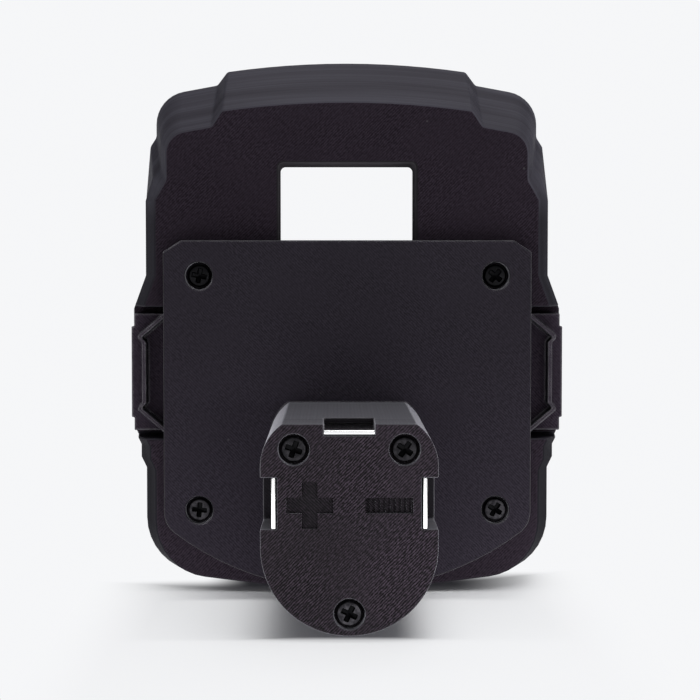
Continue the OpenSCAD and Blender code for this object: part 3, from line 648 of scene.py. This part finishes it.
def new_piece(name, mesh, body, node, material):
    """Object for a finished mesh that rides on a body and stands for a CAD node."""
    piece = bpy.data.objects.new(name, mesh)
    bpy.context.scene.collection.objects.link(piece)
    piece.data.materials.clear()
    piece.data.materials.append(material)
    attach(piece, body)
    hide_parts(node)
    return piece


def grid_mesh(name, sheets, marks=None):
    """Mesh over arrays of points, each rows by columns by 3.

    Columns close round, and end rows that shrink to a point close up. The marks are a name and an
    array per sheet with a value for each point, kept as an attribute.
    """
    mesh = bpy.data.meshes.new(name)
    points = []
    quads = []
    start = 0
    for sheet in sheets:
        rows, columns = sheet.shape[:2]
        index = start + np.arange(rows * columns).reshape(rows, columns)
        beside = np.roll(index, -1, axis=1)
        corners = [index[:-1], beside[:-1], beside[1:], index[1:]]
        quads.append(np.stack(corners, axis=-1).reshape(-1, 4))
        points.append(sheet.reshape(-1, 3))
        start += rows * columns
    mesh.from_pydata(np.concatenate(points).tolist(), [], np.concatenate(quads).tolist())
    if marks:
        values = np.concatenate([array.ravel() for array in marks[1]])
        mesh.attributes.new(marks[0], "FLOAT", "POINT").data.foreach_set("value", values)
    work = bmesh.new()
    work.from_mesh(mesh)
    bmesh.ops.remove_doubles(work, verts=work.verts, dist=GRID_MERGE)
    bmesh.ops.recalc_face_normals(work, faces=work.faces)
    work.to_mesh(mesh)
    work.free()
    mesh.shade_smooth()
    mesh.set_sharp_from_angle(angle=GRID_ANGLE)
    return mesh


def shade_evenly(piece):
    """Lets wide faces set the normals of the narrow ones beside them."""
    even = piece.modifiers.new("even_shading", "WEIGHTED_NORMAL")
    even.keep_sharp = True
    even.weight = 100


def softened(name, node, body, material, edge, segments=3):
    """Merged copy of a CAD node with flat faces joined and every edge rounded off by a live bevel."""
    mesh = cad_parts[node].data.copy()
    work = bmesh.new()
    work.from_mesh(mesh)
    bmesh.ops.remove_doubles(work, verts=work.verts, dist=SOLID_MERGE)
    bmesh.ops.dissolve_limit(work, angle_limit=FLAT_ANGLE, verts=work.verts, edges=work.edges)
    wide = [face for face in work.faces if len(face.verts) > 4]
    bmesh.ops.triangulate(work, faces=wide, quad_method="BEAUTY", ngon_method="BEAUTY")
    work.to_mesh(mesh)
    work.free()
    mesh.shade_smooth()
    mesh.set_sharp_from_angle(angle=EDGE_ANGLE)
    piece = new_piece(name, mesh, body, node, material)
    bevel = piece.modifiers.new("rounded_edges", "BEVEL")
    bevel.width = edge
    bevel.segments = segments
    bevel.limit_method = "ANGLE"
    bevel.angle_limit = EDGE_ANGLE
    bevel.use_clamp_overlap = False
    bevel.loop_slide = False
    bevel.miter_outer = "MITER_ARC"
    shade_evenly(piece)
    return piece


def prisms(name, outlines, y_front, y_back):
    """Closed prisms between two depths over front-view outlines, each (x, z) points going round."""
    mesh = bpy.data.meshes.new(name)
    work = bmesh.new()
    for outline in outlines:
        front = [work.verts.new((x, y_front, z)) for x, z in outline]
        face = work.faces.new(front)
        grown = bmesh.ops.extrude_face_region(work, geom=[face])["geom"]
        moved = [v for v in grown if isinstance(v, bmesh.types.BMVert)]
        bmesh.ops.translate(work, verts=moved, vec=(0, y_back - y_front, 0))
    bmesh.ops.recalc_face_normals(work, faces=work.faces)
    work.to_mesh(mesh)
    work.free()
    cutter = bpy.data.objects.new(name, mesh)
    bpy.context.scene.collection.objects.link(cutter)
    return cutter


def carve(piece, cutters):
    """Cuts the cutters out of a bevelled piece and leaves the result as the piece's own mesh.

    Faces square to Y are shaded flat, because the cuts leave slivers on them.
    """
    piece.modifiers.remove(piece.modifiers["even_shading"])
    for cutter in cutters:
        cut = piece.modifiers.new("carved", "BOOLEAN")
        cut.operation = "DIFFERENCE"
        cut.solver = "EXACT"
        cut.object = cutter
    evaluated = piece.evaluated_get(bpy.context.evaluated_depsgraph_get())
    mesh = bpy.data.meshes.new_from_object(evaluated)
    piece.modifiers.clear()
    piece.data = mesh
    mesh.shade_smooth()
    mesh.set_sharp_from_angle(angle=CARVED_ANGLE)
    normals = np.empty(3 * len(mesh.polygons))
    mesh.polygons.foreach_get("normal", normals)
    mesh.polygons.foreach_set("use_smooth", np.abs(normals[1::3]) < SQUARE_TO_Y)
    shade_evenly(piece)
    for cutter in cutters:
        bpy.data.objects.remove(cutter)


def box_outline(x, z, wide, high):
    """Outline of a box round a middle."""
    u = wide / 2
    v = high / 2
    return [(x - u, z - v), (x + u, z - v), (x + u, z + v), (x - u, z + v)]


def cross_outline(x, z, size, bar):
    """Outline of a plus sign of the given size with arms as wide as bar."""
    s = size / 2
    b = bar / 2
    corners = [(-b, -s), (b, -s), (b, -b), (s, -b), (s, b), (b, b),
               (b, s), (-b, s), (-b, b), (-s, b), (-s, -b), (-b, -b)]
    return [(x + u, z + v) for u, v in corners]


# Screws

THREAD_PITCH = 1.0 * MM
THREAD_CORE_R = 1.0 * MM
THREAD_STEPS = 5
THREAD_START = (0.4 * MM, 1.2 * MM)
CREST_STEEP = 1.5
CREST_SHIFT = 0.4
POINT_LEN = 1.6 * MM
POINT_LEAST = 0.02
CROSS_REACH = 1.75 * MM
CROSS_BAR = 0.95 * MM
CROSS_DEPTH = 1.3 * MM
CROSS_RISE = 0.55
CROSS_WALL = 0.09 * MM
SCREW_COLUMNS = 96
DOME_SIDE = 22
DOME_EDGE = 1 / 2.4
DOME_CROWN = 0.1
DOME_FLAT = 0.72
DOME_ROUND = 0.74
FLAT_ROWS = 44
RIM_ROWS = 18


def smooth_step(value, low, high):
    """Rises from 0 to 1 between low and high, as 3 s^2 - 2 s^3 of the share s of the way."""
    share = np.clip((value - low) / (high - low), 0, 1)
    return share * share * (3 - 2 * share)


def cross_depth(x, z):
    """Depth of a cross recess: full along two bars with soft walls, less towards their ends."""
    r = np.hypot(x, z)
    half = CROSS_BAR / 2
    bars = [1 - smooth_step(np.abs(v), half - CROSS_WALL, half + CROSS_WALL) for v in (x, z)]
    reach = 1 - smooth_step(r, CROSS_REACH - 2 * CROSS_WALL, CROSS_REACH)
    slope = CROSS_DEPTH * (1 - CROSS_RISE * r / CROSS_REACH)
    return np.maximum(bars[0], bars[1]) * reach * slope


def pan_screw(place, y_seat, length, turned):
    """Pan-head screw along +Y as a grid of profile stations by angle.

    The head is a superellipse dome less its cross recess. The shank's radius swings between the
    thread's core and crest with a triangle wave of the depth less a share of the angle, down to
    a point.
    """
    angle = np.linspace(0, TURN, SCREW_COLUMNS, endpoint=False)[None, :]
    rim = np.sin(np.linspace(math.asin(DOME_ROUND), math.pi / 2, RIM_ROWS))
    dome = np.concatenate([np.linspace(0, DOME_FLAT, FLAT_ROWS), rim])
    r = (HEAD_R * dome)[:, None] + 0 * angle
    rise = HEAD_H * (1 - dome ** DOME_SIDE) ** DOME_EDGE * (1 - DOME_CROWN * dome ** 2)
    recess = cross_depth(r * np.cos(angle + turned), r * np.sin(angle + turned))
    y = recess - rise[:, None]
    depth = np.arange(0, length, THREAD_PITCH / THREAD_STEPS)[:, None]
    wave = np.abs(((depth / THREAD_PITCH - angle / TURN) % 1) * 2 - 1)
    taper = np.clip((length - depth) / POINT_LEN, POINT_LEAST, 1)
    ridge = np.clip(wave * CREST_STEEP - CREST_SHIFT, 0, 1)
    thread = ridge * smooth_step(depth, *THREAD_START)
    crest = THREAD_CORE_R + (SHANK_R - THREAD_CORE_R) * thread
    tip = np.zeros_like(angle)
    radii = np.concatenate([r, crest * taper, tip])
    depths = np.concatenate([y, depth + 0 * angle, tip + length])
    mark = np.concatenate([recess / CROSS_DEPTH, 0 * depth + 0 * angle, tip])
    x = place[0] + radii * np.cos(angle)
    z = place[1] + radii * np.sin(angle)
    return np.stack([x, y_seat + depths, z], axis=-1), mark


def screw_set(name, node, places, length):
    """All screws of one node, as (x, z), seat depth and turn of the cross."""
    sheets, marks = zip(*[pan_screw(place, seat, length, turned) for place, seat, turned in places])
    mesh = grid_mesh(name, sheets, ("recess", marks))
    return new_piece(name, mesh, "housing", node, SCREW_STEEL)


# Turns of the crosses, as the driver left them
CAP_TURNS = [0.35, 0.6, 0.45]
BLOCK_TURN = 0.3
screw_set("cap_screw_set", "cap_screws",
          [(place, STEM_Y + CAP_SEAT, turn) for place, turn in zip(CAP_SCREWS, CAP_TURNS)], CAP_SCREW_LEN)
screw_set("cover_screw_set", "cover_screws", [
    ((-COVER_SCREW_X, COVER_SCREW_HIGH), COVER_Y + UPPER_SEAT, 0.2),
    ((COVER_SCREW_X, COVER_SCREW_HIGH), COVER_Y + UPPER_SEAT, 0.7),
    ((-COVER_SCREW_X, COVER_SCREW_LOW), COVER_Y + LOWER_SEAT, 0.1),
    ((COVER_SCREW_X, COVER_SCREW_LOW), COVER_Y + LOWER_SEAT, 0.55),
], COVER_SCREW_LEN)
screw_set("block_screw_set", "terminal_block_screws",
          [(place, BLOCK_FLANGE_Y, BLOCK_TURN) for place in BLOCK_SCREWS], BLOCK_SCREW_LEN)


# Printed pieces, with the radius of their edges

for name, node, body, material, edge in (
    ("housing_shell", "body", "housing", BODY_PLASTIC, 0.45 * MM),
    ("cover_shell", "front_cover", "housing", COVER_PLASTIC, 0.3 * MM),
    ("latch_left_shell", "latch_left", "latch_left_button", LATCH_PLASTIC, 0.25 * MM),
    ("latch_right_shell", "latch_right", "latch_right_button", LATCH_PLASTIC, 0.25 * MM),
    ("terminal_shell", "terminal_block", "housing", LATCH_PLASTIC, 0.25 * MM),
):
    softened(name, node, body, material, edge)
cap = softened("cap_shell", "stem_cap", "housing", CAP_PLASTIC, 0.2 * MM)

# Polarity recesses in the cap: a plus, and a bar with upright slots in its floor
MARK_Z = 27.1 * MM
PLUS_X = -7.8 * MM
MINUS_X = 7.85 * MM
PLUS_SIZE = 9.2 * MM
MINUS_SIZE = 9.4 * MM
MARK_BAR = 3.1 * MM
MARK_DEPTH = 0.55 * MM
SLOT_COUNT = 9
SLOT_PITCH = 1.03 * MM
SLOT_W = 0.52 * MM
SLOT_H = 3.0 * MM
SLOT_DEPTH = 1.0 * MM
CUT_FRONT = STEM_Y - MM
slot_places = MINUS_X + SLOT_PITCH * (np.arange(SLOT_COUNT) - (SLOT_COUNT - 1) / 2)
signs = prisms("cut_signs", [cross_outline(PLUS_X, MARK_Z, PLUS_SIZE, MARK_BAR),
                             box_outline(MINUS_X, MARK_Z, MINUS_SIZE, MARK_BAR)],
               CUT_FRONT, STEM_Y + MARK_DEPTH)
slots = prisms("cut_slots", [box_outline(x, MARK_Z, SLOT_W, SLOT_H) for x in slot_places],
               CUT_FRONT, STEM_Y + SLOT_DEPTH)
carve(cap, [signs, slots])


# Metal strips and blades

STRIP_EDGE = 0.12 * MM
for side in ("positive", "negative", "signal"):
    softened("strip_" + side, "contact_" + side, "housing", CONTACT_METAL, STRIP_EDGE, 2)
    softened("tab_" + side, "blade_" + side, "housing", BLADE_METAL, STRIP_EDGE, 2)


# Springs and leads

SPRING_COILS = 7
SPRING_END_PITCH = 0.66 * MM
SPRING_SEAT_GAP = 0.1 * MM
SPRING_SIDES = 10
SPRING_STEPS = 36
LEAD_SIDES = 14


def capped(ring, path):
    """Rings along a path, closed by a point at each end."""
    ends = [np.repeat(path[i][None, None], ring.shape[1], axis=1) for i in (0, -1)]
    return np.concatenate([ends[0], ring, ends[1]])


def tube(path, radius):
    """Round tube along a path: rings square to it, with the across direction kept level."""
    ahead = np.gradient(path, axis=0)
    ahead /= np.linalg.norm(ahead, axis=1, keepdims=True)
    across = np.cross(ahead, (0, 0, 1.0))
    across /= np.linalg.norm(across, axis=1, keepdims=True)
    up = np.cross(across, ahead)
    turn = np.linspace(0, TURN, LEAD_SIDES, endpoint=False)[None, :, None]
    ring = path[:, None] + radius * (across[:, None] * np.cos(turn) + up[:, None] * np.sin(turn))
    return capped(ring, path)


def coil(side):
    """Compression spring along X on one side: a helix whose first and last turns lie close."""
    turns = np.linspace(0, SPRING_COILS + 2, SPRING_STEPS * (SPRING_COILS + 2) + 1)
    closed = 2 * (SPRING_WIRE_R + SPRING_END_PITCH)
    last = SPRING_END_PITCH + SPRING_LEN - closed
    along = np.interp(turns, [0, 1, SPRING_COILS + 1, SPRING_COILS + 2],
                      [0, SPRING_END_PITCH, last, last + SPRING_END_PITCH])
    x = SPRING_SEAT_X + SPRING_SEAT_GAP + SPRING_WIRE_R + along
    out = np.stack([0 * x, np.cos(TURN * turns), np.sin(TURN * turns)], axis=-1)
    axis = np.stack([x, 0 * x + SPRING_Y, 0 * x + SPRING_Z], axis=-1)
    middle = axis + (SPRING_R - SPRING_WIRE_R) * out
    turn = np.linspace(0, TURN, SPRING_SIDES, endpoint=False)[None, :, None]
    outward = out[:, None] * np.cos(turn) + np.array([1.0, 0, 0]) * np.sin(turn)
    return capped(middle[:, None] + SPRING_WIRE_R * outward, middle) * np.array([side, 1, 1])


for name, side in (("left", -1), ("right", 1)):
    mesh = grid_mesh("coil_" + name, [coil(side)])
    spring = new_piece("coil_" + name, mesh, "housing", "latch_spring_" + name,
                       SPRING_STEEL)
    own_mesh(spring)

# Routes in millimetres, as the wires' centre lines in the solids
LEAD_R = 1.3 * MM
SIGNAL_LEAD_R = 0.8 * MM
LEAD_BARE_Y = (-20.5 * MM, 26.4 * MM)
POWER_ROUTE = [(13.15, -25.5, 27.5), (13.15, -20.5, 27.5), (12.15, -5.5, 27.5),
               (12.85, 14.5, 32), (12.85, 26.4, 33), (12.85, 31.4, 33)]
SIGNAL_ROUTE = [(0, -25.5, 40.25), (0, -20.5, 40.25), (0, -5.5, 39.25),
                (0, 14.5, 38.55), (0, 26.4, 36.85), (0, 31.4, 36.85)]
LEAD_RED = (0.36, 0.015, 0.012, 1.0)
LEAD_BLACK = (0.012, 0.012, 0.012, 1.0)
LEAD_YELLOW = (0.55, 0.36, 0.015, 1.0)


def smooth_route(route, steps=12):
    """Catmull-Rom curve through the route's points, in metres."""
    p = np.array(route) * MM
    p = np.concatenate([p[:1], p, p[-1:]])
    t = (np.arange(steps) / steps)[:, None]
    spans = [
        (2 * b + (c - a) * t + (2 * a - 5 * b + 4 * c - d) * t ** 2
         + (3 * b - a - 3 * c + d) * t ** 3) / 2
        for a, b, c, d in zip(p[:-3], p[1:-2], p[2:-1], p[3:])
    ]
    return np.concatenate(spans + [p[-1:]])


def lead(name, node, colour, path, radius):
    """Round lead along a path with an insulated skin."""
    skin = lead_insulation(name + "_skin", colour, *LEAD_BARE_Y)
    new_piece(name, grid_mesh(name, [tube(path, radius)]), "housing", node, skin)


power = smooth_route(POWER_ROUTE)
signal = smooth_route(SIGNAL_ROUTE)
lead("lead_positive", "wire_positive", LEAD_RED, power * (-1, 1, 1), LEAD_R)
lead("lead_negative", "wire_negative", LEAD_BLACK, power, LEAD_R)
lead("lead_signal", "wire_signal", LEAD_YELLOW, signal, SIGNAL_LEAD_R)


# Floor, light and camera

PAPER = (0.92, 0.926, 0.94, 1.0)
ROOM = (0.12, 0.12, 0.125, 1.0)
FILL = (0.22, 0.222, 0.226, 1.0)
FLOOR_HALF = 3.0
FLOOR_ROUGH = 0.9
FLOOR_GLOSS = 0.1
BACKDROP_EDGE = (0.88, 0.96)

# Where the floor goes over to plain paper: distances from the middle, depths and shares
BESIDE_BODY_X = (24 * MM, 60 * MM)
BEHIND_Y = (17 * MM, 33 * MM)
BEHIND_X = (22 * MM, 34 * MM)
BEHIND_SKEW = 0.15
BESIDE_STEM_Y = (-3 * MM, 3 * MM)
BESIDE_STEM_X = (9 * MM, 26 * MM)
BESIDE_STEM_SHARE = 0.48
AHEAD_Y = (-47 * MM, -42 * MM)
AHEAD_SHARE = 0.66
FAR_OFF = (110 * MM, 220 * MM)


def white_floor():
    """Pale matt floor with the part's shadow, going over to the plain paper colour away from it.

    The plain share is the greatest of five smooth steps: beside the body, behind its corners,
    beside the stem, ahead of the stem's end and far off.
    """
    h = FLOOR_HALF
    mesh = bpy.data.meshes.new("floor")
    mesh.from_pydata([(-h, -h, 0), (h, -h, 0), (h, h, 0), (-h, h, 0)], [], [(0, 1, 2, 3)])
    floor = bpy.data.objects.new("floor", mesh)
    bpy.context.scene.collection.objects.link(floor)
    material, t, place, shader = new_material("floor_white")
    shader["Base Color"].default_value = PAPER
    shader["Roughness"].default_value = FLOOR_ROUGH
    shader["Specular IOR Level"].default_value = FLOOR_GLOSS
    nodes = material.node_tree.nodes
    bsdf = next(n for n in nodes if n.type == "BSDF_PRINCIPLED")
    output = next(n for n in nodes if n.type == "OUTPUT_MATERIAL")
    part = t.parts(place)
    x = t.math("ABSOLUTE", part["X"])
    y = part["Y"]
    skewed = t.math("SUBTRACT", y, t.product(part["X"], BEHIND_SKEW))
    plain = t.ramp(x, *BESIDE_BODY_X)
    behind = t.product(t.ramp(skewed, *BEHIND_Y), t.ramp(x, *BEHIND_X))
    beside_stem = t.product(t.rest(t.ramp(y, *BESIDE_STEM_Y)), t.ramp(x, *BESIDE_STEM_X), BESIDE_STEM_SHARE)
    ahead = t.product(t.rest(t.ramp(y, *AHEAD_Y)), AHEAD_SHARE)
    far_off = t.ramp(t.vector("LENGTH", place, output="Value"), *FAR_OFF)
    for share in (behind, beside_stem, ahead, far_off):
        plain = t.math("MAXIMUM", plain, share)
    ray = t.add("ShaderNodeLightPath").outputs
    seen = t.math("ADD", ray["Is Camera Ray"], ray["Is Glossy Ray"], clamp=True)
    seen = t.math("ADD", seen, ray["Is Transmission Ray"], clamp=True)
    white = t.add("ShaderNodeEmission", {"Color": PAPER, "Strength": 1.0}).outputs[0]
    shares = {0: t.product(plain, seen), 1: bsdf.outputs[0], 2: white}
    t.put(t.add("ShaderNodeMixShader", shares).outputs[0], output.inputs["Surface"])
    floor.data.materials.append(material)


def studio_world():
    """Pale backdrop for camera rays, and before and behind the part for gloss and glass rays.

    Gloss and glass see a dim room elsewhere, and other rays an even level for soft fill.
    """
    world = bpy.data.worlds.new("studio")
    bpy.context.scene.world = world
    world.use_nodes = True
    world.node_tree.nodes.clear()
    t = Tree(world.node_tree)
    direction = t.add("ShaderNodeTexCoord").outputs["Generated"]
    along = t.math("ABSOLUTE", t.parts(direction)["Y"])
    backdrop = t.mix(t.ramp(along, *BACKDROP_EDGE), ROOM, PAPER)
    ray = t.add("ShaderNodeLightPath").outputs
    mirrored = t.math("ADD", ray["Is Glossy Ray"], ray["Is Transmission Ray"], clamp=True)
    colour = t.mix(ray["Is Camera Ray"], t.mix(mirrored, FILL, backdrop), PAPER)
    back = t.add("ShaderNodeBackground", {"Color": colour, "Strength": 1.0})
    output = t.add("ShaderNodeOutputWorld")
    t.put(back.outputs[0], output.inputs["Surface"])


# Lamps: name, place, target, width, height and watts
SOFTBOXES = [
    ("overhead", (0.14, -0.12, 0.85), (0, 0, 0.05), 0.6, 0.6, 5.0),
    ("back_top", (0.09, 0.45, 0.65), (0, 0, 0.05), 0.5, 0.5, 1.8),
    ("left_front", (-0.3, -0.9, 0.04), (0, 0, 0.04), 0.4, 0.06, 0.5),
    ("right_front", (0.35, -0.85, 0.04), (0, 0, 0.04), 0.4, 0.06, 0.9),
    ("under_front", (0.02, -0.12, 0.0005), (0.02, -0.12, 1), 0.5, 0.3, 0.4),
]


def softbox(name, place, target, wide, high, watts):
    """Rectangular area light at a place, facing a target."""
    light = bpy.data.lights.new(name, "AREA")
    light.shape = "RECTANGLE"
    light.size = wide
    light.size_y = high
    light.energy = watts
    lamp = bpy.data.objects.new(name, light)
    bpy.context.scene.collection.objects.link(lamp)
    reach = np.subtract(target, place)
    pitch = math.atan2(math.hypot(reach[0], reach[1]), -reach[2])
    lamp.location = place
    lamp.rotation_euler = (pitch, 0, math.atan2(-reach[0], reach[1]))


SENSOR_MM = 36.0
LENS_MM = 98.11
CAMERA_PLACE = (-2.9 * MM, STEM_Y - 372 * MM, 74.8 * MM)
CAMERA_DOWN = math.radians(2.641)
CAMERA_YAW = math.radians(-0.466)


def photo_camera():
    """Camera straight in front of the stem, a little above it, as the photograph was taken."""
    data = bpy.data.cameras.new("photo")
    data.sensor_width = SENSOR_MM
    data.lens = LENS_MM
    camera = bpy.data.objects.new("photo", data)
    bpy.context.scene.collection.objects.link(camera)
    camera.location = CAMERA_PLACE
    camera.rotation_euler = (math.pi / 2 - CAMERA_DOWN, 0, CAMERA_YAW)
    bpy.context.scene.camera = camera


white_floor()
studio_world()
for box in SOFTBOXES:
    softbox(*box)
photo_camera()
bpy.context.scene.view_settings.view_transform = "Standard"
